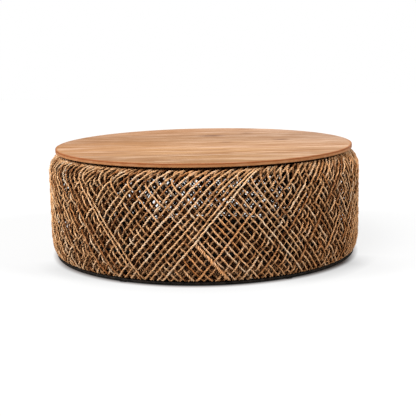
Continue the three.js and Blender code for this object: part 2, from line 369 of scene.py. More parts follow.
def ropeSection(r):
    # radius and height of the outermost strand's middle, from under the foot round to the inside
    wall = drumRadius - r["radius"]
    top = topUnderside - r["topClearance"] - r["radius"]
    bottom = baseTop + r["baseClearance"] + r["radius"]
    foot = (wall - r["footReach"], bottom + r["footRise"])
    shoulder = (wall - r["shoulderReach"], top - r["shoulderDrop"])
    inside = shoulder[0] - r["innerReach"]
    fine = r["arcSteps"]
    footPoints = ellipseArc(foot, r["footReach"], r["footRise"], -90, 0, fine)
    heights = np.linspace(foot[1], shoulder[1], fine)[1:-1]
    wallPoints = np.stack([np.full_like(heights, wall), heights], 1)
    wallNormals = np.tile([1.0, 0.0], (len(heights), 1))
    shoulderPoints = ellipseArc(shoulder, r["shoulderReach"], r["shoulderDrop"], 0, 90, fine)
    outer = (
        np.concatenate([footPoints[0], wallPoints, shoulderPoints[0]]),
        np.concatenate([footPoints[1], wallNormals, shoulderPoints[1]]),
    )
    turnCentre = (shoulder[0], top - r["innerTurnDrop"])
    overTop = ellipseArc(turnCentre, r["innerReach"], r["innerTurnDrop"], 90, 180, r["overTopSteps"])
    footCentre = (foot[0], bottom + r["innerFootRise"])
    reach = foot[0] - inside
    underFoot = ellipseArc(footCentre, reach, r["innerFootRise"], 180, 270, r["underFootSteps"])
    return outer, overTop, underFoot


def evenly(points, normals, step):
    # the same run with its points a given step apart
    steps = np.linalg.norm(np.diff(points, axis=0), axis=1)
    run = np.concatenate([[0], np.cumsum(steps)])
    places = np.linspace(0, run[-1], int(run[-1] / step))
    even = [np.stack([np.interp(places, run, v[:, k]) for k in (0, 1)], 1) for v in (points, normals)]
    return even[0], even[1]


def spreadOut(angles, least, rounds):
    # pushes neighbours on the circle apart until hardly any are closer than the least spacing
    turns = 360 * np.floor(angles / 360)
    order = np.argsort(angles - turns)
    ring = (angles - turns)[order]
    for step in range(rounds):
        gaps = np.diff(np.append(ring, ring[0] + 360))
        push = np.clip(least - gaps, 0, None) / 2
        ring = ring - push + np.roll(push, 1)
    spread = np.empty_like(ring)
    spread[order] = ring
    return spread + turns


def bandOf(way, foot):
    for band in ropeBands:
        if band[0] == way and (foot - band[1]) % 360 < band[2] - band[1]:
            return band
    return ropeBands[0]


def planStrands(r):
    # one entry for each loop: its direction, foot and crest angle, looks and place in the winding
    generator = np.random.default_rng(r["seed"])
    loops = r["loopsPerWay"]
    # both directions share one spacing round the circle, each loop between two of the other direction
    fine = r["windingStart"] + np.arange(0, 360 + r["countStep"] / 2, r["countStep"])
    density = np.array([1 / bandOf(1, angle)[3] + 1 / bandOf(-1, angle)[3] for angle in fine])
    count = np.concatenate([[0], np.cumsum(density)[:-1]])
    count = count * loops / count[-1]

    def placed(shares):
        turns = np.floor(shares / loops)
        return np.interp(shares - turns * loops, count, fine) + 360 * turns

    feet, crests, strands = [], [], []
    for way, start in ((1, 0.25), (-1, 0.75)):
        shares = np.arange(loops) + start + r["jitter"] * generator.uniform(-1, 1, loops)
        wave = np.arange(loops) * 2 * r["driftWaves"] * math.pi / loops
        drift = r["leanDrift"] * np.sin(wave + r["driftPhase"] * way)
        leans = r["leanLoops"] + drift + r["leanJitter"] * generator.uniform(-1, 1, loops)
        leans = leans - (r["backTurnLoops"] if way == -1 else 0)
        feet.append(placed(shares))
        crests.append(placed(np.sort(shares + way * leans)))
    feet, crests = [
        spreadOut(np.concatenate(angles), r["leastSpacing"], r["spreadRounds"]) for angles in (feet, crests)
    ]
    for index, (foot, crest) in enumerate(zip(feet, crests)):
        way = 1 if index < loops else -1
        strands.append({
            "way": way,
            "foot": foot,
            "crest": crest,
            "thickness": 1 + r["thicknessSpread"] * generator.uniform(-1, 1),
            "tone": generator.beta(*r["toneSpread"]),
            "redness": generator.beta(*r["rednessSpread"]),
            "order": bandOf(way, foot)[4] + r["bandMixing"] * generator.uniform(-1, 1),
            "onTop": nowhere,
            "phases": generator.uniform(0, 2 * math.pi, 8),
            "pitches": generator.uniform(*r["pitchSpread"], 8),
        })
    chances = generator.uniform(-1, 1, (loops, loops))
    for index, strand in enumerate(strands):
        strand["index"] = index % loops
        strand["chances"] = chances if strand["way"] == 1 else -chances.T
    for way, foot, crest, thickness, tone, redness, first, last in ropeAccents:
        sameWay = [s for s in strands if s["way"] == way]
        nearest = min(sameWay, key=lambda s: abs((s["foot"] - foot + 180) % 360 - 180))
        shift = round((nearest["foot"] - foot) / 360) * 360
        nearest.update(foot=foot + shift, crest=crest + shift, thickness=thickness, tone=tone)
        nearest.update(redness=redness, onTop=(first, last))
    return strands


def ramp(distance, rate):
    return np.clip(distance * rate, 0, 1)


def hookAngle(share, r):
    # both directions bend to the right over the shoulder, as the rope was pulled
    bend = np.clip((share - r["shoulderShare"]) / (1 - r["shoulderShare"]), 0, 1)
    return r["crestHook"] * bend * bend


def backTurn(share, way, r):
    # strands that climb to the left turn back to run beside the others at the crest
    if way == 1:
        return 0 * share
    bend = np.clip((share - r["backTurnFrom"]) / (1 - r["backTurnFrom"]), 0, 1)
    return r["backTurn"] * (bend * bend - share)


def within(angle, limits):
    return limits[0] < (angle + 180) % 360 - 180 < limits[1]


def shoulderWay(strand, r):
    # the direction that lies on top round the shoulder at a strand's crest
    return -1 if within(strand["crest"], r["leftShoulder"]) else 1


def facingOf(strand):
    # -1 at the left side of the drum, 0 at its front and back, 1 at its right side
    return math.sin(math.radians((strand["foot"] + strand["crest"]) / 2))


def sideways(strand, r):
    # 0 at the front and the back of the drum, 1 at its sides
    return min(max((abs(facingOf(strand)) - r["sideFrom"]) / r["sideWithin"], 0), 1)


def topBonus(strand, share, r):
    # more than any band's order, where the strand is named to lie on top
    return r["onTopBonus"] if strand["onTop"][0] <= share <= strand["onTop"][1] else 0


def liesOver(strand, other, share, r):
    bonus = topBonus(strand, share, r)
    otherBonus = topBonus(other, share, r)
    if share > r["overlapShare"] and not within(strand["crest"], r["openShoulder"]):
        bonus += 1 if strand["way"] == shoulderWay(strand, r) else -1
    mixing = r["crossingMixing"] + r["sideMixing"] * sideways(strand, r)
    chance = mixing * strand["chances"][strand["index"], other["index"]]
    return strand["order"] + bonus + chance > other["order"] + otherBonus


def crossings(strand, others, r):
    # shares up the wall where this strand crosses the others, with 1 where it lies on top, else -1
    lean = abs(strand["crest"] - strand["foot"])
    fine = np.linspace(0, 1, r["crossingSteps"])
    margin = r["crossingMargin"]
    met = [(0.0, r["footLevel"]), (r["footShare"], r["footLevel"])]
    for other in others:
        gap = ((other["foot"] - strand["foot"]) * strand["way"]) % 360
        closing = (lean + abs(other["crest"] - other["foot"])) * fine - backTurn(fine, -1, r)
        share = np.interp(gap, closing, fine, right=2)
        if margin < share < r["besideFrom"] - margin:
            met.append((share, 1.0 if liesOver(strand, other, share, r) else -1.0))
    end = r["crestLevel"] if strand["way"] == shoulderWay(strand, r) else r["crestLevelUnder"]
    met += [(r["besideFrom"] + margin, end), (1.0, end)]
    return zip(*sorted(met))


def smoothed(values, width):
    kernel = np.hanning(width + 2)[1:-1]
    padded = np.pad(values, width // 2, mode="edge")
    return np.convolve(padded, kernel / kernel.sum(), "valid")


def waveSum(share, strand, first, rate):
    # two sines, the second faster and lower, whose phases and pitches belong to the strand
    total = 0
    for k, factor in ((first, 1.0), (first + 1, 1.9)):
        total = total + np.sin(share * rate * factor * strand["pitches"][k] + strand["phases"][k]) / factor
    return total


def placePoints(points, normals, angles, depths):
    flat = points - normals * np.reshape(depths, (-1, 1))
    turned = np.radians(angles - 90)
    return np.stack([flat[:, 0] * np.cos(turned), flat[:, 0] * np.sin(turned), flat[:, 1]], 1)


def strandGirth(share, window, strand, r):
    thicker = (strand["thickness"] - 1) * ramp(window, r["thickEndRate"])
    if strand["thickness"] > r["doubled"]:
        # two strands twisted together, only as far up as they lie on top
        past = strand["onTop"][1] + r["doubledPast"] - share
        thicker = thicker * ramp(past, r["doubledRate"])
    girth = (1 + thicker) * (1 + r["thicknessAlong"] * waveSum(share, strand, 4, r["thicknessRate"]))
    # the rope is pressed flat and wide where it bends
    girth = girth + r["crestSwell"] * ramp(share - r["crestSwellFrom"], r["crestSwellRate"])
    return girth + r["footSwell"] * ramp(r["footSwellTo"] - share, r["footSwellRate"])


def strandShade(share, level, strand, r):
    # painted shade: the lower layer is painted darker, most of all on the side away from the key light,
    # and so are the crest and the part under the top, in the top's shadow
    sideShade = r["rightShade"] if facingOf(strand) > 0 else r["leftShade"]
    shade = (r["shade"] + sideShade * sideways(strand, r)) * (1 - level) / 2
    shade = shade + r["crestShade"] * ramp(share - r["crestShadeFrom"], r["crestShadeRate"])
    return np.maximum(shade, ramp(share - r["hiddenFrom"], 1 / r["hiddenWithin"]))


def outerRun(strand, others, outer, r):
    # up the wall from the foot to the crest, over and under the strands of the other direction
    share = np.linspace(0, 1, len(outer[0]))
    level = smoothed(np.interp(share, *crossings(strand, others, r)), r["levelSmoothing"])
    window = ramp(np.sin(np.pi * share), r["endRate"])
    slide = r["wander"] * waveSum(share, strand, 0, r["wanderRate"])
    slide = slide + r["kink"] * waveSum(share, strand, 2, r["kinkRate"])
    slide = slide * (1 - r["sideCalm"] * sideways(strand, r))
    girth = strandGirth(share, window, strand, r)
    # the layers close up where the strands turn round the wrapped rings
    crowding = 1 - r["crowding"] * np.clip(1 - r["crowdingRate"] * np.minimum(share, 1 - share), 0, 1)
    depth = crowding * r["layerStep"] * (1 - level) / 2 + 0.5 * level * r["radius"] * (girth - 1)
    depth = depth + r["bump"] * window * waveSum(share, strand, 6, r["bumpRate"])
    angle = strand["foot"] + (strand["crest"] - strand["foot"]) * share
    angle = angle + np.degrees(slide * window / drumRadius)
    angle = angle + hookAngle(share, r) + backTurn(share, strand["way"], r)
    return placePoints(*outer, angle, depth), girth, strandShade(share, level, strand, r)


def innerRun(strand, following, overTop, underFoot, r):
    # over the top and straight down inside to the next loop's foot
    way = strand["way"]
    depth = r["layerStep"] * r["innerDepth"]
    overTurn = np.linspace(0, r["overTopTurn"], len(overTop[0]))
    overAngles = strand["crest"] + r["crestHook"] + way * overTurn
    over = placePoints(*overTop, overAngles, np.full(len(overAngles), depth))
    nextFoot = following["foot"] + round((strand["foot"] - following["foot"]) / 360) * 360
    underAngles = nextFoot - way * np.linspace(r["underFootTurn"], 0, len(underFoot[0]))
    under = placePoints(*underFoot, underAngles, np.full(len(underAngles), depth))
    drop = under[0] - over[-1]
    count = int(np.linalg.norm(drop) / r["innerRingStep"] / 2) * 2
    shares = np.linspace(0, 1, count)[1:-1, None]
    run = over[-1] + drop * shares
    # the inner runs bow to either side, each by its own amount
    bow = np.radians(r["innerBow"] * math.cos(strand["phases"][7])) * np.sin(math.pi * shares[:, 0])
    run = np.stack([
        run[:, 0] * np.cos(bow) - run[:, 1] * np.sin(bow),
        run[:, 0] * np.sin(bow) + run[:, 1] * np.cos(bow),
        run[:, 2],
    ], 1)
    points = np.concatenate([over[1:], run, under[:-1]])
    middle = len(over) - 1 + len(run) // 2
    return points, middle


def namedValue(tree, name):
    node = addNode(tree, "GeometryNodeInputNamedAttribute", data_type="FLOAT")
    node.inputs["Name"].default_value = name
    return node.outputs["Attribute"]


def storeNode(tree, geometry, name, kind, value):
    node = addNode(tree, "GeometryNodeStoreNamedAttribute", data_type=kind, domain="POINT")
    node.inputs["Name"].default_value = name
    tree.links.new(geometry, node.inputs["Geometry"])
    tree.links.new(value, node.inputs["Value"])
    return node.outputs["Geometry"]


def ropeTree():
    # sweeps a two-lobed section along the path, turned at each point by the lay of the rope
    tree, start, end = newTree("twoPlyRope", "GeometryNodeTree", [
        ("Geometry", "NodeSocketGeometry", None),
        ("Groove Depth", "NodeSocketFloat", 0.7),
        ("Groove Sharpness", "NodeSocketFloat", 4.0),
        ("Sides", "NodeSocketInt", 8),
        ("Material", "NodeSocketMaterial", None),
    ], [("Geometry", "NodeSocketGeometry")])
    link = tree.links.new
    path = addNode(tree, "GeometryNodeMeshToCurve")
    link(start.outputs["Geometry"], path.inputs["Mesh"])
    tilt = addNode(tree, "GeometryNodeSetCurveTilt")
    link(path.outputs["Curve"], tilt.inputs["Curve"])
    link(namedValue(tree, "twist"), tilt.inputs["Tilt"])

    # the section: a circle of radius 1, drawn in at the groove between the two plies
    circle = addNode(tree, "GeometryNodeCurvePrimitiveCircle")
    link(start.outputs["Sides"], circle.inputs["Resolution"])
    circle.inputs["Radius"].default_value = 1.0
    place = addNode(tree, "GeometryNodeInputPosition").outputs[0]
    split = splitNode(tree, place)
    across = mathNode(tree, "ABSOLUTE", split["Y"])
    groove = mathNode(tree, "POWER", across, start.outputs["Groove Sharpness"])
    ply = mathNode(tree, "GREATER_THAN", split["X"], 0.0)
    depth = times(tree, groove, start.outputs["Groove Depth"])
    scaled = vectorNode(tree, "SCALE", place)
    link(mathNode(tree, "SUBTRACT", 1.0, depth), scaled.inputs["Scale"])
    section = storeNode(tree, circle.outputs["Curve"], "groove", "FLOAT", groove)
    section = storeNode(tree, section, "ply", "FLOAT", ply)
    section = storeNode(tree, section, "around", "FLOAT_VECTOR", place)
    grooved = addNode(tree, "GeometryNodeSetPosition")
    link(section, grooved.inputs["Geometry"])
    link(scaled.outputs[0], grooved.inputs["Position"])

    sweep = addNode(tree, "GeometryNodeCurveToMesh")
    sweep.inputs["Fill Caps"].default_value = True
    link(tilt.outputs["Curve"], sweep.inputs["Curve"])
    link(grooved.outputs["Geometry"], sweep.inputs["Profile Curve"])
    link(namedValue(tree, "girth"), sweep.inputs["Scale"])
    smooth = addNode(tree, "GeometryNodeSetShadeSmooth")
    link(sweep.outputs["Mesh"], smooth.inputs["Geometry"])
    realize = addNode(tree, "GeometryNodeRealizeInstances")
    link(smooth.outputs["Geometry"], realize.inputs["Geometry"])
    paint = addNode(tree, "GeometryNodeSetMaterial")
    link(realize.outputs["Geometry"], paint.inputs["Geometry"])
    link(start.outputs["Material"], paint.inputs["Material"])
    link(paint.outputs["Geometry"], end.inputs["Geometry"])
    return tree


def pathObject(name, points, attributes, breaks=()):
    # a chain of points with no edge before the points in breaks
    mesh = bpy.data.meshes.new(name)
    mesh.vertices.add(len(points))
    mesh.vertices.foreach_set("co", points.astype(np.float32).ravel())
    pairs = np.stack([np.arange(len(points) - 1), np.arange(1, len(points))], 1)
    pairs = pairs[~np.isin(pairs[:, 1], breaks)]
    mesh.edges.add(len(pairs))
    mesh.edges.foreach_set("vertices", pairs.astype(np.int32).ravel())
    for key, values in attributes.items():
        attribute = mesh.attributes.new(key, "FLOAT", "POINT")
        attribute.data.foreach_set("value", values.astype(np.float32))
    mesh.update()
    return linkMesh(name, mesh)


def windingPath(run, before, others, section, r):
    # one winding: it starts and ends halfway down the inside, a small gap from its neighbours
    outer, overTop, underFoot = section
    points, girths, tones, rednesses, insides = [], [], [], [], []

    def add(part, girth, inside, strand):
        points.append(part)
        insides.append(np.broadcast_to(inside, len(part)))
        girths.append(np.broadcast_to(girth, len(part)))
        tones.append(np.full(len(part), strand["tone"]))
        rednesses.append(np.full(len(part), strand["redness"]))

    # the inside attribute carries painted shade: 1 on the inner runs, the outer runs' own painted shade on
    # the way up
    inner, middle = innerRun(before, run[0], overTop, underFoot, r)
    add(inner[middle:], 1 + r["sideSwell"] * sideways(before, r), 1.0, before)
    for strand, following in zip(run[:-1], run[1:]):
        add(*outerRun(strand, others, outer, r), strand)
        inner, middle = innerRun(strand, following, overTop, underFoot, r)
        if following is run[-1]:
            inner = inner[:middle]
            back = inner[-2] - inner[-1]
            inner[-1] += back * r["endGap"] / np.linalg.norm(back)
        add(inner, 1 + r["sideSwell"] * sideways(strand, r), 1.0, strand)
    points = np.concatenate(points)
    lengths = np.linalg.norm(np.diff(points, axis=0), axis=1)
    # the lay is tighter in some places than in others
    generator = np.random.default_rng(int(1000 * before["phases"][0]))
    slack = smoothed(generator.uniform(-1, 1, len(points)), r["turnSmoothing"]) * r["turnGain"]
    return points, {
        "girth": smoothed(np.concatenate(girths), r["girthSmoothing"]) * r["radius"],
        "twist": np.radians(np.cumsum(r["turnPerRing"] * (1 + r["turnSpread"] * slack)) % 360),
        "along": np.concatenate([[0], np.cumsum(lengths)]),
        "tone": smoothed(np.concatenate(tones), r["toneSmoothing"]),
        "redness": smoothed(np.concatenate(rednesses), r["toneSmoothing"]),
        # painted shade, for the material's inside mix
        "inside": smoothed(np.concatenate(insides), r["toneSmoothing"]),
    }


def makeRope(r, material):
    outer, overTop, underFoot = ropeSection(r)
    rise = np.linalg.norm(np.diff(outer[0], axis=0), axis=1).sum()
    climb = math.radians(r["meanLean"]) * drumRadius
    outer = evenly(*outer, r["outerRingStep"] * rise / math.hypot(climb, rise))
    section = (outer, overTop, underFoot)
    strands = planStrands(r)
    tree = ropeTree()
    names = {1: "rope_outer", -1: "rope_inner"}
    for way in (1, -1):
        others = [s for s in strands if s["way"] == -way]
        mine = [s for s in strands if s["way"] == way]
        mine.sort(key=lambda s: ((s["foot"] - r["windingStart"]) * way) % 360)
        progress = [((s["foot"] - r["windingStart"]) * way) % 360 for s in mine]
        ends = np.searchsorted(progress, np.linspace(0, 360, r["nodesPerWay"] + 1))
        for node in range(r["nodesPerWay"]):
            cuts = np.linspace(ends[node], ends[node + 1], r["piecesPerNode"] + 1).astype(int)
            for index, (first, last) in enumerate(zip(cuts[:-1], cuts[1:])):
                run = [mine[k % len(mine)] for k in range(first, last + 1)]
                points, attributes = windingPath(run, mine[first - 1], others, section, r)
                nodeName = f"{names[way]}_{node + 1}"
                source = pathObject("path", points, attributes)
                piece = bakeNodes(f"{nodeName}_{'ab'[index]}", source, tree, {
                    "Material": material,
                    "Sides": r["sides"],
                    "Groove Depth": r["grooveDepth"],
                    "Groove Sharpness": r["grooveSharpness"],
                })
                finishPiece(piece, [nodeName])
    makeWrap("top_wrap", "top_ring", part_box("cross_bar_front")[1].x, wrapForm, r, material, tree)
    makeWrap("bottom_wrap", "bottom_ring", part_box("frame_rib_4")[1].x, wrapForm, r, material, tree)
    makeSeatCord(seatCord, r, material, tree)
    makeBinding(bindingForm, overTop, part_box("cross_bar_front")[1].x, r, material, tree)
    print("rope wound:", len(strands), "loops")


# What the thinner cords share: the tightness of their lay, and how their tones drift along them
cordForm = {
    "turnFactor": 1.5,
    "toneDraw": (0.1, 0.9),
    "toneSmoothing": 61,
    "toneGain": 1.6,
    "toneShift": -0.3,
}
# Thinner rope wrapped round the top and bottom rings, between the ribs and what stands on the rings
wrapForm = {
    "radius": 2.7 * millimetre,
    "pitch": 5.8 * millimetre,
    "ringStep": 3.3 * millimetre,
    "gapBesideParts": 3.0 * millimetre,
    "stops": 12,
    "unevenness": 0.3 * millimetre,
    "smoothing": 31,
    # painted shade, through the inside attribute: how dark the wrap is painted
    "inside": 0.35,
}
# A thin cord between the crest of the rope and the boards, just outside the ends of the bars
seatCord = {
    "radius": 2.0 * millimetre,
    "clearance": 0.2 * millimetre,
    "ringRadius": 453.0 * millimetre,
    "ringStep": 3.0 * millimetre,
    "endGap": 2.0 * millimetre,
    "grooveDepth": 0.2,
    # painted shade, through the inside attribute: the cord under the top is painted fully dark
    "inside": 1.0,
}
# Cords bound round the inside of the turns at the top, between the cross bars
bindingForm = {
    "radius": 2.6 * millimetre,
    "clearance": 0.3 * millimetre,
    "places": (108, 121, 134, 147, 160, 173),
    "sideRows": 7,
    "sideRowStep": 7.5 * millimetre,
    "reach": 90,
    "sideReach": 52,
    "ringStep": 4.0 * millimetre,
    "gapBesideBars": 0.4 * millimetre,
    # painted shade, through the inside attribute: how dark the binding inside the turns is painted
    "inside": 0.8,
}
# facets of the CAD's round bars, and of its rings
ringSides = 6
ringSteps = 48


def ringSize(name):
    # radius of a ring's middle line, its height and its bar's radius, from the CAD's faceted ring
    low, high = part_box(name)
    bar = (high.z - low.z) / 2 / math.cos(math.pi / ringSides)
    return high.x / math.cos(math.pi / ringSteps) - bar, (low.z + high.z) / 2, bar


def makeWrap(name, ringName, halfWidth, w, r, material, tree):
    radius, height, bar = ringSize(ringName)
    generator = np.random.default_rng(len(name))
    coil = bar + w["radius"]
    margin = (halfWidth + w["gapBesideParts"] + w["radius"]) / radius
    parts = []
    for stop in range(w["stops"]):
        first = 2 * math.pi * stop / w["stops"] + margin
        last = 2 * math.pi * (stop + 1) / w["stops"] - margin
        turns = int((last - first) * radius / w["pitch"])
        count = int(turns * 2 * math.pi * coil / w["ringStep"])
        along = np.linspace(first, last, count)
        turn = np.linspace(0, 2 * math.pi * turns, count)
        reach = coil + w["unevenness"] * smoothed(generator.uniform(0, 1, count), w["smoothing"])
        ring = radius + reach * np.cos(turn)
        points = [ring * np.cos(along), ring * np.sin(along), height + reach * np.sin(turn)]
        parts.append(np.stack(points, 1))
    sweepCord(name, parts, w, cordForm, r, material, tree)


def sweepCord(name, parts, own, c, r, material, tree):
    # thin rope along each part: own is the cord's dictionary, c what the cords share, r the rope's
    generator = np.random.default_rng(len(parts))
    points = np.concatenate(parts)
    tones = smoothed(generator.uniform(*c["toneDraw"], len(points)), c["toneSmoothing"])
    breaks = np.cumsum([len(part) for part in parts])[:-1]
    lengths = np.linalg.norm(np.diff(points, axis=0), axis=1)
    source = pathObject("path", points, {
        "girth": np.full(len(points), own["radius"]),
        "twist": np.radians(r["turnPerRing"] * c["turnFactor"] * np.arange(len(points)) % 360),
        "along": np.concatenate([[0], np.cumsum(lengths)]),
        "tone": tones * c["toneGain"] + c["toneShift"],
        "redness": smoothed(generator.uniform(0, 1, len(points)), c["toneSmoothing"]),
        # painted shade of the whole cord, as on the rope
        "inside": np.full(len(points), own["inside"]),
    }, breaks)
    piece = bakeNodes(name, source, tree, {
        "Material": material,
        "Sides": r["sides"],
        "Groove Depth": own.get("grooveDepth", r["grooveDepth"]),
        "Groove Sharpness": r["grooveSharpness"],
    })
    finishPiece(piece)


def makeSeatCord(s, r, material, tree):
    height = topUnderside - s["radius"] - s["clearance"]
    radius = s["ringRadius"]
    whole = 2 * math.pi - s["endGap"] / radius
    angles = np.linspace(0, whole, int(whole * radius / s["ringStep"])) - math.pi / 2
    points = [radius * np.cos(angles), radius * np.sin(angles), np.full(len(angles), height)]
    sweepCord("seat_cord", [np.stack(points, 1)], s, cordForm, r, material, tree)


def makeBinding(b, overTop, halfWidth, r, material, tree):
    # places are angles round the turn over the top, as in ropeSection
    angles = np.linspace(90, 180, len(overTop[0]))
    offset = r["radius"] + b["radius"] + b["clearance"]
    rows = []
    for place in b["places"]:
        point, normal = [np.array([np.interp(place, angles, v[:, k]) for k in (0, 1)]) for v in overTop]
        rows.append((*(point + normal / np.linalg.norm(normal) * offset), b["reach"]))
    # more rows at the drum's sides, below the long bar's ends
    for row in range(b["sideRows"]):
        radius, height = overTop[0][-1]
        rows.append((radius - offset, height - (row + 0.5) * b["sideRowStep"], b["sideReach"]))
    parts = []
    for radius, height, reach in rows:
        margin = (halfWidth + b["gapBesideBars"]) / radius
        length = min(math.radians(reach), math.pi / 2 - margin) - margin
        for bar in (0, math.pi):
            for way in (1, -1):
                along = bar + way * (margin + np.linspace(0, length, int(length * radius / b["ringStep"])))
                points = [radius * np.cos(along), radius * np.sin(along), np.full(len(along), height)]
                parts.append(np.stack(points, 1))
    sweepCord("top_binding", parts, b, cordForm, r, material, tree)


# Materials
def newMaterial(name, f, metallic=0.0):
    # f is the finish's dictionary
    material = bpy.data.materials.new(name)
    material.use_nodes = True
    shader = material.node_tree.nodes["Principled BSDF"]
    shader.inputs["Roughness"].default_value = f["roughness"]
    shader.inputs["Metallic"].default_value = metallic
    shader.inputs["Specular IOR Level"].default_value = f["specular"]
    here = addNode(material.node_tree, "ShaderNodeTexCoord").outputs["Object"]
    return material, material.node_tree, shader, here


def shaderAttribute(tree, name, output="Fac"):
    node = addNode(tree, "ShaderNodeAttribute", attribute_type="GEOMETRY", attribute_name=name)
    return node.outputs[output]


def mixColours(tree, factor, a, b, blend="MIX"):
    node = addNode(tree, "ShaderNodeMix", data_type="RGBA", blend_type=blend)
    for socket, value in ((node.inputs[0], factor), (node.inputs[6], a), (node.inputs[7], b)):
        if isinstance(value, (int, float)):
            socket.default_value = value
        elif isinstance(value, tuple):
            socket.default_value = (*value, 1.0)
        else:
            tree.links.new(value, socket)
    return node.outputs[2]


def noiseNode(tree, vector, scale, detail=3.0, roughness=0.55, distortion=0.0):
    node = addNode(tree, "ShaderNodeTexNoise")
    node.inputs["Scale"].default_value = scale
    node.inputs["Detail"].default_value = detail
    node.inputs["Roughness"].default_value = roughness
    node.inputs["Distortion"].default_value = distortion
    tree.links.new(vector, node.inputs["Vector"])
    return node.outputs["Fac"]


def rangeNode(tree, value, low, high, newLow=0.0, newHigh=1.0):
    node = addNode(tree, "ShaderNodeMapRange", clamp=True)
    tree.links.new(value, node.inputs["Value"])
    for key, number in (("From Min", low), ("From Max", high), ("To Min", newLow), ("To Max", newHigh)):
        node.inputs[key].default_value = number
    return node.outputs["Result"]


def grainNode(tree, vector, stretch, detail=3.0, roughness=0.55, distortion=0.0):
    # noise that changes at its own rate along each axis
    node = addNode(tree, "ShaderNodeMapping")
    node.inputs["Scale"].default_value = stretch
    tree.links.new(vector, node.inputs["Vector"])
    return noiseNode(tree, node.outputs["Vector"], 1.0, detail, roughness, distortion)


def offsetNode(tree, pattern, amount):
    # turns a pattern that runs from 0 to 1 into a shift up or down
    return times(tree, mathNode(tree, "SUBTRACT", pattern, 0.5), amount)


def bumpNormal(tree, shader, height, strength, distance):
    bump = addNode(tree, "ShaderNodeBump")
    bump.inputs["Strength"].default_value = strength
    bump.inputs["Distance"].default_value = distance
    tree.links.new(height, bump.inputs["Height"])
    tree.links.new(bump.outputs["Normal"], shader.inputs["Normal"])


def coatShader(tree, shader, colour, sheen, height, f):
    tree.links.new(colour, shader.inputs["Base Color"])
    tree.links.new(rangeNode(tree, sheen, *f["roughnessRange"]), shader.inputs["Roughness"])
    bumpNormal(tree, shader, height, *f["relief"])


ropeFinish = {
    # dark is the strands' darkest tone and also painted as shade in the groove between the plies; deep is
    # painted shade, on the inner runs, under other strands, on the flanks and towards the floor
    "dark": (0.095, 0.033, 0.010),
    "golden": (0.525, 0.300, 0.141),
    "pale": (0.555, 0.437, 0.304),
    "red": (0.42, 0.155, 0.040),
    "deep": (0.042, 0.012, 0.003),
    "roughness": 0.85,
    "specular": 0.06,
    "relief": (0.5, 0.6 * millimetre),
    # the fibres' noise: cells round and along the strand
    "fibreAround": 3.0,
    "fibreAlong": 45.0,
    "fibreNoise": (1.6, 4.0, 0.65),
    "patchNoise": (42.0, 3.0),
    "driftNoise": (7.0, 1.0),
    # what shifts a strand's own tone
    "plyAmount": 0.15,
    "patchAmount": 1.9,
    "fibreAmount": 2.0,
    "toneRange": (0.0, 1.1),
    "goldenRange": (0.0, 0.5),
    "paleRange": (0.55, 1.0),
    "redRange": (0.35, 0.65, 0.25, 1.0),
    "redMix": 0.75,
    # how far the groove and the inside attribute are painted towards dark and deep, as painted shade
    "grooveMix": 0.65,
    "insideMix": 0.93,
    # heights on the table where outward tips up to the shoulder and down to the foot, and by how much
    "shoulderTip": (0.262, 0.322, 0.0, 1.1),
    "footTip": (0.012, 0.075, -0.4, 0.0),
    "flankRange": (0.1, 0.75, 0.72, 0.0),
    "flankFade": (0.27, 0.31, 1.0, 0.6),
    "lowRange": (0.06, 0.26, 0.18, 0.0),
}


def ropeMaterial(f):
    material, tree, shader, here = newMaterial("fibreRope", f)
    around = splitNode(tree, shaderAttribute(tree, "around", "Vector"))
    along = times(tree, shaderAttribute(tree, "along"), f["fibreAlong"])
    x, y = [times(tree, around[axis], f["fibreAround"]) for axis in ("X", "Y")]
    fibres = noiseNode(tree, joinNode(tree, x, y, along), *f["fibreNoise"])
    patches = noiseNode(tree, here, *f["patchNoise"])
    drift = noiseNode(tree, here, *f["driftNoise"])
    ply = shaderAttribute(tree, "ply")
    level = shaderAttribute(tree, "tone")
    for pattern, amount in ((ply, "plyAmount"), (patches, "patchAmount"), (fibres, "fibreAmount")):
        level = plus(tree, level, offsetNode(tree, pattern, f[amount]))
    level = rangeNode(tree, level, *f["toneRange"])
    colour = mixColours(tree, rangeNode(tree, level, *f["goldenRange"]), f["dark"], f["golden"])
    colour = mixColours(tree, rangeNode(tree, level, *f["paleRange"]), colour, f["pale"])
    red = times(tree, shaderAttribute(tree, "redness"), rangeNode(tree, drift, *f["redRange"]))
    colour = mixColours(tree, times(tree, red, f["redMix"]), colour, f["red"])
    # painted shade: the groove between the plies is painted dark, and the inside attribute paints the inner
    # runs, the lower strands, the crest and the part under the top deep
    for key, paint in (("groove", "dark"), ("inside", "deep")):
        amount = times(tree, shaderAttribute(tree, key), f[f"{key}Mix"])
        colour = mixColours(tree, amount, colour, f[paint])
    # painted shade: strands stand so close that their flanks, turned away from the outside, keep no light,
    # so the flanks are painted deep
    x, y, z = splitNode(tree, here)
    tip = plus(tree, *[rangeNode(tree, z, *f[key]) for key in ("shoulderTip", "footTip")])
    outward = vectorNode(tree, "NORMALIZE", joinNode(tree, x, y, tip)).outputs[0]
    normal = addNode(tree, "ShaderNodeNewGeometry").outputs["Normal"]
    facing = vectorNode(tree, "DOT_PRODUCT", outward, normal).outputs["Value"]
    flank = times(tree, rangeNode(tree, facing, *f["flankRange"]), rangeNode(tree, z, *f["flankFade"]))
    colour = mixColours(tree, flank, colour, f["deep"])
    # painted shade: the rope is painted a little darker towards the floor, where less light reaches it
    colour = mixColours(tree, rangeNode(tree, z, *f["lowRange"]), colour, f["deep"])
    tree.links.new(colour, shader.inputs["Base Color"])
    bumpNormal(tree, shader, fibres, *f["relief"])
    return material


# Shared shader effects: they put out masks only
effectForm = {
    "edgeRange": (0.51, 0.60),
    "spotDetail": 5.0,
    "spotRange": (0.42, 0.68),
    "upwardRange": (0.2, 0.9),
    "cloudNoise": (38.0, 5.0),
    "cloudRange": (0.35, 0.7),
}


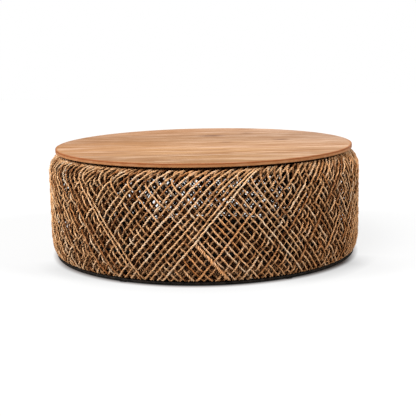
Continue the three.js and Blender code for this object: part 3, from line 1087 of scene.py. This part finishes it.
def useEffect(tree, effect, **values):
    node = addNode(tree, "ShaderNodeGroup", node_tree=effect)
    for key, value in values.items():
        socket = node.inputs[key]
        if isinstance(value, (int, float)):
            socket.default_value = value
        else:
            tree.links.new(value, socket)
    return node.outputs


def makeWearEffect(e):
    # 1 on worn edges and rubbed spots
    tree, start, end = newTree("edgeWear", "ShaderNodeTree", [
        ("Position", "NodeSocketVector", None),
        ("Spot Scale", "NodeSocketFloat", 90.0),
        ("Amount", "NodeSocketFloat", 0.5),
    ], [("Wear", "NodeSocketFloat")])
    link = tree.links.new
    pointed = addNode(tree, "ShaderNodeNewGeometry").outputs["Pointiness"]
    spots = addNode(tree, "ShaderNodeTexNoise")
    spots.inputs["Detail"].default_value = e["spotDetail"]
    link(start.outputs["Position"], spots.inputs["Vector"])
    link(start.outputs["Spot Scale"], spots.inputs["Scale"])
    edge = rangeNode(tree, pointed, *e["edgeRange"])
    broken = rangeNode(tree, spots.outputs["Fac"], *e["spotRange"])
    link(times(tree, times(tree, edge, broken), start.outputs["Amount"]), end.inputs["Wear"])
    return tree


def makeDustEffect(e):
    # 1 where dust settles: on faces that look up, in cloudy patches
    tree, start, end = newTree("settledDust", "ShaderNodeTree", [
        ("Position", "NodeSocketVector", None),
        ("Amount", "NodeSocketFloat", 0.4),
    ], [("Dust", "NodeSocketFloat")])
    normal = addNode(tree, "ShaderNodeNewGeometry").outputs["Normal"]
    upward = rangeNode(tree, splitNode(tree, normal)["Z"], *e["upwardRange"])
    clouds = noiseNode(tree, start.outputs["Position"], *e["cloudNoise"])
    dust = times(tree, upward, rangeNode(tree, clouds, *e["cloudRange"]))
    tree.links.new(times(tree, dust, start.outputs["Amount"]), end.inputs["Dust"])
    return tree


edgeWear = makeWearEffect(effectForm)
settledDust = makeDustEffect(effectForm)
ropeSkin = ropeMaterial(ropeFinish)
makeRope(ropeForm, ropeSkin)


# Teak top: nine boards with eased edges, the grain shifted from board to board
teakFinish = {
    "base": (0.222, 0.119, 0.052),
    "light": (0.268, 0.156, 0.077),
    # the colour of a painted sheen, paler and pinker, towards the back right
    "paintedSheen": (0.276, 0.198, 0.147),
    "pale": (0.370, 0.262, 0.192),
    "streak": (0.138, 0.058, 0.020),
    "knot": (0.055, 0.018, 0.008),
    "side": (0.205, 0.083, 0.028),
    # the arris takes a painted shade line along the top edge
    "arris": (0.120, 0.030, 0.006),
    "deep": (0.200, 0.098, 0.044),
    "roughness": 0.75,
    "specular": 0.13,
    "roughnessRange": (0.3, 0.7, 0.70, 0.82),
    "relief": (0.25, 0.25 * millimetre),
    # each pattern's rate along, across and through the boards, then its detail, roughness and distortion
    "broad": ((1.6, 8.0, 8.0), 3.0, 0.55, 0.6),
    "bands": ((2.8, 46.0, 46.0), 5.0, 0.6, 0.1),
    "paler": ((4.0, 72.0, 68.0), 4.0, 0.65),
    "streaks": ((5.0, 84.0, 84.0), 5.0, 0.65),
    "pores": ((45.0, 900.0, 900.0), 2.0),
    "baseRange": (0.32, 0.68),
    # painted sheen: the top is painted paler and pinker towards the back right, where a low light glances
    # off it, and it deepens towards the back left
    "paintedSheenSlope": 0.8,
    "paintedSheenRange": (-0.1, 0.5, 0.0, 0.8),
    "deepSlope": -0.9,
    "deepRange": (-0.2, 0.45, 0.0, 0.7),
    # what the patterns paint, in this order: range, strength and colour
    "grain": (
        ("bands", (0.46, 0.60, 0.0, 0.40), "streak"),
        ("paler", (0.48, 0.60, 0.0, 0.55), "pale"),
        ("streaks", (0.46, 0.56, 0.0, 0.75), "streak"),
        ("pores", (0.52, 0.75, 0.0, 0.35), "streak"),
    ),
    "boardTones": (0.90, 1.10),
    # place along and across the top, and size, in metres
    "knots": (
        (0.028, 0.210, 0.024),
        (0.255, 0.066, 0.015),
        (0.072, 0.020, 0.011),
        (0.150, 0.275, 0.012),
    ),
    "knotStretch": (0.45, 1.0, 1.0),
    "knotMix": 0.9,
    # how strongly the side colour and the painted shade line at the arris are laid on, and how the grain
    # breaks up that line
    "edgeMix": 0.85,
    "brokenEdge": (0.45, 0.6, 0.0, 0.5),
}
boardForm = {
    "grainShift": 3.0,
    "grainTurn": 5.1,
    "grainDrop": 0.37,
    "rimEase": 1.6 * millimetre,
    "seamEase": 0.35 * millimetre,
    # the band on the side below the eased rim that carries the painted shade line of the arris
    "darkRim": 2.6 * millimetre,
    "arcSteps": 40,
}
boardNames = [name for name in nodes if name.startswith("top_board")]
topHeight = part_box("top_board_5")[1].z


def boardOutline(radius, front, back, steps):
    # front and back are the board's straight sides, or None at the ends of the disc
    lowAngle = -math.pi / 2 if front is None else math.asin(front / radius)
    highAngle = math.pi / 2 if back is None else math.asin(back / radius)
    right = np.linspace(lowAngle, highAngle, steps + 1)
    angles = np.concatenate([right, math.pi - right[::-1]])
    return [(radius * math.cos(a), radius * math.sin(a)) for a in angles]


def makeBoard(index, count, b, material):
    name = f"top_board_{index + 1}"
    low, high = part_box(name)
    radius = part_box("top_board_5")[1].x
    front = None if index == 0 else low.y
    back = None if index == count - 1 else high.y
    top, bottom = high.z, low.z
    ease = b["rimEase"]
    # height and inset of each ring from the underside to the face, and its edge value: 0.5 on the side,
    # 1 on the arris, where a painted shade line runs, fading out onto the face
    rings = [
        (bottom, 0.5 * ease, 0.5),
        (bottom + 0.5 * ease, 0.0, 0.5),
        (top - ease - b["darkRim"], 0.0, 0.5),
        (top - ease - 0.8 * b["darkRim"], 0.0, 1.0),
        (top - ease, 0.0, 1.0),
        (top - 0.3 * ease, 0.3 * ease, 0.8),
        (top, ease, 0.75),
        (top, 2.6 * ease, 0.4),
        (top, 5.0 * ease, 0.0),
    ]
    mesh = bmesh.new()
    edge = mesh.verts.layers.float.new("edge")
    loops = []
    for height, inset, darkness in rings:
        seamInset = inset * b["seamEase"] / ease if inset <= ease else b["seamEase"]
        sides = (None if front is None else front + seamInset, None if back is None else back - seamInset)
        ring = []
        for x, y in boardOutline(radius - inset, *sides, b["arcSteps"]):
            vertex = mesh.verts.new((x, y, height))
            vertex[edge] = darkness
            ring.append(vertex)
        loops.append(ring)
    for lower, upper in zip(loops[:-1], loops[1:]):
        for k in range(len(lower)):
            following = (k + 1) % len(lower)
            mesh.faces.new((lower[k], lower[following], upper[following], upper[k]))
    mesh.faces.new(loops[-1])
    mesh.faces.new(loops[0][::-1])
    bmesh.ops.remove_doubles(mesh, verts=mesh.verts[:], dist=0.000001)
    bmesh.ops.triangulate(mesh, faces=[face for face in mesh.faces if len(face.verts) > 4])
    bmesh.ops.recalc_face_normals(mesh, faces=mesh.faces[:])
    data = bpy.data.meshes.new(name)
    mesh.to_mesh(data)
    mesh.free()
    shift = data.attributes.new("boardShift", "FLOAT", "POINT")
    value = math.sin(b["grainTurn"] * (index + 1)) * b["grainShift"]
    shift.data.foreach_set("value", [value] * len(data.vertices))
    data.materials.append(material)
    finishPiece(linkMesh(f"teak_board_{index + 1}", data), [name])


def teakMaterial(f, b):
    material, tree, shader, here = newMaterial("oiledTeak", f)
    # each board's grain is taken from another part of the pattern
    shift = shaderAttribute(tree, "boardShift")
    place = joinNode(tree, x=shift, z=times(tree, shift, b["grainDrop"]))
    wood = vectorNode(tree, "ADD", here, place).outputs[0]
    patterns = {
        key: grainNode(tree, wood, *f[key]) for key in ("broad", "bands", "paler", "streaks", "pores")
    }
    colour = mixColours(tree, rangeNode(tree, patterns["broad"], *f["baseRange"]), f["base"], f["light"])
    x, y = splitNode(tree, here)[:2]
    # a painted sheen, paler and pinker towards the back right, and a deeper tone towards the back left
    for key in ("paintedSheen", "deep"):
        slanted = plus(tree, times(tree, x, f[f"{key}Slope"]), y)
        colour = mixColours(tree, rangeNode(tree, slanted, *f[f"{key}Range"]), colour, f[key])
    for key, limits, paint in f["grain"]:
        colour = mixColours(tree, rangeNode(tree, patterns[key], *limits), colour, f[paint])
    tone = addNode(tree, "ShaderNodeHueSaturation")
    reach = b["grainShift"]
    tree.links.new(rangeNode(tree, shift, -reach, reach, *f["boardTones"]), tone.inputs["Value"])
    tree.links.new(colour, tone.inputs["Color"])
    colour = tone.outputs["Color"]
    streaks = patterns["streaks"]
    for along, across, size in f["knots"]:
        offset = addNode(tree, "ShaderNodeVectorMath", operation="SUBTRACT")
        tree.links.new(here, offset.inputs[0])
        offset.inputs[1].default_value = (along, across, topHeight)
        oval = addNode(tree, "ShaderNodeMapping")
        oval.inputs["Scale"].default_value = f["knotStretch"]
        tree.links.new(offset.outputs[0], oval.inputs["Vector"])
        far = vectorNode(tree, "LENGTH", oval.outputs["Vector"]).outputs["Value"]
        ragged = plus(tree, far, times(tree, streaks, size))
        knot = rangeNode(tree, ragged, 0.7 * size, 1.6 * size, f["knotMix"], 0.0)
        colour = mixColours(tree, knot, colour, f["knot"])
    # the edge attribute is 0 on the face, 0.5 on the side and 1 on the arris: the side takes a darker
    # orange, and the arris with the band below it takes a painted shade line, broken up along the grain
    edge = shaderAttribute(tree, "edge")
    colour = mixColours(tree, rangeNode(tree, edge, 0.0, 0.5, 0.0, f["edgeMix"]), colour, f["side"])
    colour = mixColours(tree, rangeNode(tree, edge, 0.5, 1.0, 0.0, f["edgeMix"]), colour, f["arris"])
    broken = times(tree, edge, rangeNode(tree, streaks, *f["brokenEdge"]))
    colour = mixColours(tree, broken, colour, f["arris"])
    coatShader(tree, shader, colour, streaks, plus(tree, patterns["pores"], streaks), f)
    return material


teakSkin = teakMaterial(teakFinish, boardForm)
for board in range(len(boardNames)):
    makeBoard(board, len(boardNames), boardForm, teakSkin)
print("top boards made")


# Iron frame: smooth rings in place of the faceted ones, and a shared black finish
ringForm = {
    "steps": 144,
    "sides": 14,
    "baseWidth": 34 * millimetre,
    "baseInset": 6.5 * millimetre,
    "baseEase": 1.2 * millimetre,
}
ironFinish = {
    "black": (0.0022, 0.0018, 0.0015),
    "bloom": (0.008, 0.004, 0.0025),
    "bare": (0.055, 0.045, 0.038),
    "dust": (0.09, 0.065, 0.045),
    "roughness": 0.62,
    "specular": 0.03,
    "bloomNoise": (24.0, 6.0, 0.65),
    "scaleNoise": (260.0, 4.0),
    "bloomRange": (0.48, 0.72, 0.0, 0.8),
    "wearAmount": 0.2,
    "dustAmount": 0.02,
    "roughnessRange": (0.3, 0.7, 0.5, 0.75),
    "relief": (0.3, 0.3 * millimetre),
}
zincFinish = {
    "grey": (0.42, 0.43, 0.45),
    "bright": (0.62, 0.62, 0.60),
    "dull": (0.30, 0.28, 0.25),
    "roughness": 0.35,
    "specular": 0.5,
    "spangleNoise": (420.0, 3.0),
    "spangleRange": (0.35, 0.65),
    "wearAmount": 0.4,
    "wearScale": 300.0,
    "roughnessRange": (0.3, 0.7, 0.28, 0.5),
    "relief": (0.15, 0.1 * millimetre),
}
glideFinish = {
    "black": (0.016, 0.016, 0.017),
    "scuffed": (0.05, 0.05, 0.05),
    "dust": (0.12, 0.11, 0.10),
    "roughness": 0.55,
    "specular": 0.4,
    "scuffNoise": ((60.0, 400.0, 60.0), 4.0),
    "scuffRange": (0.5, 0.75, 0.0, 0.7),
    "dustAmount": 0.3,
    "roughnessRange": (0.3, 0.7, 0.45, 0.7),
    "relief": (0.2, 0.15 * millimetre),
}


def makeTurned(name, section, steps, material, replaced):
    # a closed section, in radius and height, carried round the vertical axis
    angles = 2 * math.pi * np.arange(steps) / steps
    section = np.array(section)
    points = [(r * math.cos(a), r * math.sin(a), z) for a in angles for r, z in section]
    sides = len(section)
    faces = []
    for step in range(steps):
        following = (step + 1) % steps
        for side in range(sides):
            beside = (side + 1) % sides
            faces.append((step * sides + side, following * sides + side,
                          following * sides + beside, step * sides + beside))
    mesh = bpy.data.meshes.new(name)
    mesh.from_pydata(points, [], faces)
    mesh.shade_smooth()
    mesh.materials.append(material)
    finishPiece(linkMesh(name, mesh), replaced)


def makeRings(f, material):
    for ringName in ("top_ring", "shoulder_ring", "middle_ring", "lower_ring", "bottom_ring"):
        radius, height, bar = ringSize(ringName)
        angles = 2 * math.pi * np.arange(f["sides"]) / f["sides"]
        section = [(radius + bar * math.cos(a), height + bar * math.sin(a)) for a in angles]
        makeTurned(f"round_{ringName}", section, f["steps"], material, [ringName])


def makeBaseRing(f, material):
    low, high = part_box("base_ring")
    outer = high.x / math.cos(math.pi / ringSteps) - f["baseInset"]
    inner = outer - f["baseWidth"] + f["baseInset"]
    ease = f["baseEase"]
    section = [
        (inner + ease, low.z), (outer - ease, low.z), (outer, low.z + ease), (outer, high.z - ease),
        (outer - ease, high.z), (inner + ease, high.z), (inner, high.z - ease), (inner, low.z + ease),
    ]
    makeTurned("base_band", section, 2 * f["steps"], material, ["base_ring"])


def ironMaterial(f):
    material, tree, shader, here = newMaterial("blackIron", f)
    bloom = noiseNode(tree, here, *f["bloomNoise"])
    scale = noiseNode(tree, here, *f["scaleNoise"])
    colour = mixColours(tree, rangeNode(tree, bloom, *f["bloomRange"]), f["black"], f["bloom"])
    wear = useEffect(tree, edgeWear, Position=here, Amount=f["wearAmount"])["Wear"]
    colour = mixColours(tree, wear, colour, f["bare"])
    dust = useEffect(tree, settledDust, Position=here, Amount=f["dustAmount"])["Dust"]
    colour = mixColours(tree, dust, colour, f["dust"])
    coatShader(tree, shader, colour, bloom, plus(tree, scale, bloom), f)
    return material


def zincMaterial(f):
    material, tree, shader, here = newMaterial("platedZinc", f, metallic=1.0)
    spangle = noiseNode(tree, here, *f["spangleNoise"])
    colour = mixColours(tree, rangeNode(tree, spangle, *f["spangleRange"]), f["grey"], f["bright"])
    values = {"Position": here, "Amount": f["wearAmount"], "Spot Scale": f["wearScale"]}
    colour = mixColours(tree, useEffect(tree, edgeWear, **values)["Wear"], colour, f["dull"])
    coatShader(tree, shader, colour, spangle, spangle, f)
    return material


def plasticMaterial(f):
    material, tree, shader, here = newMaterial("glidePlastic", f)
    scuffs = grainNode(tree, here, *f["scuffNoise"])
    colour = mixColours(tree, rangeNode(tree, scuffs, *f["scuffRange"]), f["black"], f["scuffed"])
    dust = useEffect(tree, settledDust, Position=here, Amount=f["dustAmount"])["Dust"]
    colour = mixColours(tree, dust, colour, f["dust"])
    coatShader(tree, shader, colour, scuffs, scuffs, f)
    return material


ironSkin = ironMaterial(ironFinish)
makeRings(ringForm, ironSkin)
makeBaseRing(ringForm, ironSkin)
for words, skin in (
    (("rib", "bar", "stud"), ironSkin),
    (("screw",), zincMaterial(zincFinish)),
    (("glide",), plasticMaterial(glideFinish)),
):
    for name in nodes:
        if any(word in name for word in words):
            nodes[name].data.materials.clear()
            nodes[name].data.materials.append(skin)
print("frame and base finished")


# Floor and light
stageSetup = {
    "floorSize": 14.0,
    "roughness": 0.9,
    "specular": 0.1,
    "floorTone": 0.07,
    "bounceTone": 0.30,
    "floorGlow": 0.80,
    # painted shade: the floor under the table is painted dark brown, out to this far from its middle
    "underTone": (0.045, 0.018, 0.007),
    "underReach": (0.46, 0.49),
    # shade at the table's foot: from and to how far from its middle, and how deep at either end
    "contactShade": (0.48, 0.56, 0.33, 0.0),
    "nearShade": (0.48, 0.68, 0.14, 0.0),
    "touchShade": (0.475, 0.496, 0.5, 0.0),
    # how deep it is to the right and to the left, and where it ends towards the back
    "rightWeight": (0.35, 0.85, 0.25, 1.0),
    "leftWeight": (-0.85, -0.35, 0.30, 0.0),
    "shadeEnd": (-0.50, -0.28, 1.0, 0.0),
    "touchEnd": (-0.45, -0.20, 1.0, 0.0),
    "skyColour": (1.0, 0.91, 0.81),
    "skyStrength": 0.10,
}
# heading from the front of the table, positive to the right, then height, strength and spread
sunLights = {
    "keyLight": (-38, 51, 5.35, 30),
    "sideLight": (66, 30, 5.0, 14),
    "leftLight": (-78, 26, 5.1, 14),
    "overheadLight": (0, 88, 0.5, 70),
    "sheenLight": (150, 16, 0.8, 40),
}


def floorShade(tree, x, y, reach, s):
    # 0 where the floor is bright, deepest at the left and right of the table's front
    aside, ahead = [mathNode(tree, "DIVIDE", v, reach) for v in (x, y)]
    right, left = [rangeNode(tree, aside, *s[key]) for key in ("rightWeight", "leftWeight")]
    weight = plus(tree, right, left)
    contact, near, touching = [
        rangeNode(tree, reach, *s[key]) for key in ("contactShade", "nearShade", "touchShade")
    ]
    where = times(tree, weight, rangeNode(tree, ahead, *s["shadeEnd"]))
    shade = times(tree, plus(tree, contact, near), where)
    under = times(tree, weight, rangeNode(tree, ahead, *s["touchEnd"]))
    return plus(tree, shade, times(tree, touching, under))


def makeFloor(s):
    half = s["floorSize"] / 2
    corners = [(-half, -half, 0), (half, -half, 0), (half, half, 0), (-half, half, 0)]
    mesh = bpy.data.meshes.new("floor")
    mesh.from_pydata(corners, [], [(0, 1, 2, 3)])
    floor = linkMesh("floor", mesh)
    # the floor looks white to the camera, but throws less light back on the table
    material, tree, shader, here = newMaterial("paleFloor", s)
    seen = addNode(tree, "ShaderNodeLightPath").outputs["Is Camera Ray"]
    reach = vectorNode(tree, "LENGTH", here).outputs["Value"]
    away = rangeNode(tree, reach, *s["underReach"])
    tone = mixColours(tree, seen, (s["bounceTone"],) * 3, (s["floorTone"],) * 3)
    # painted shade: under the table the floor is painted dark, for the camera and for bounced light alike
    tree.links.new(mixColours(tree, away, s["underTone"], tone), shader.inputs["Base Color"])
    shader.inputs["Emission Color"].default_value = (1, 1, 1, 1)
    x, y = splitNode(tree, here)[:2]
    lit = mathNode(tree, "SUBTRACT", 1.0, floorShade(tree, x, y, reach, s))
    glow = rangeNode(tree, times(tree, seen, away), 0.0, 1.0, 0.0, s["floorGlow"])
    tree.links.new(times(tree, glow, lit), shader.inputs["Emission Strength"])
    mesh.materials.append(material)


def makeSky(s):
    world = bpy.data.worlds.new("studio")
    world.use_nodes = True
    tree = world.node_tree
    background = tree.nodes["Background"]
    seen = addNode(tree, "ShaderNodeLightPath").outputs["Is Camera Ray"]
    tree.links.new(mixColours(tree, seen, s["skyColour"], (1.0, 1.0, 1.0)), background.inputs["Color"])
    tree.links.new(rangeNode(tree, seen, 0.0, 1.0, s["skyStrength"], 1.0), background.inputs["Strength"])
    scene.world = world
    scene.view_settings.view_transform = "Standard"


def sunLight(name, heading, height, strength, spread):
    data = bpy.data.lights.new(name, "SUN")
    data.energy = strength
    data.angle = math.radians(spread)
    light = bpy.data.objects.new(name, data)
    turn, rise = math.radians(heading), math.radians(height)
    source = Vector((math.sin(turn) * math.cos(rise), -math.cos(turn) * math.cos(rise), math.sin(rise)))
    light.location = source * 3
    light.rotation_mode = "QUATERNION"
    light.rotation_quaternion = source.to_track_quat("Z", "Y")
    scene.collection.objects.link(light)


makeFloor(stageSetup)
makeSky(stageSetup)
for name, values in sunLights.items():
    sunLight(name, *values)
print("stage ready")
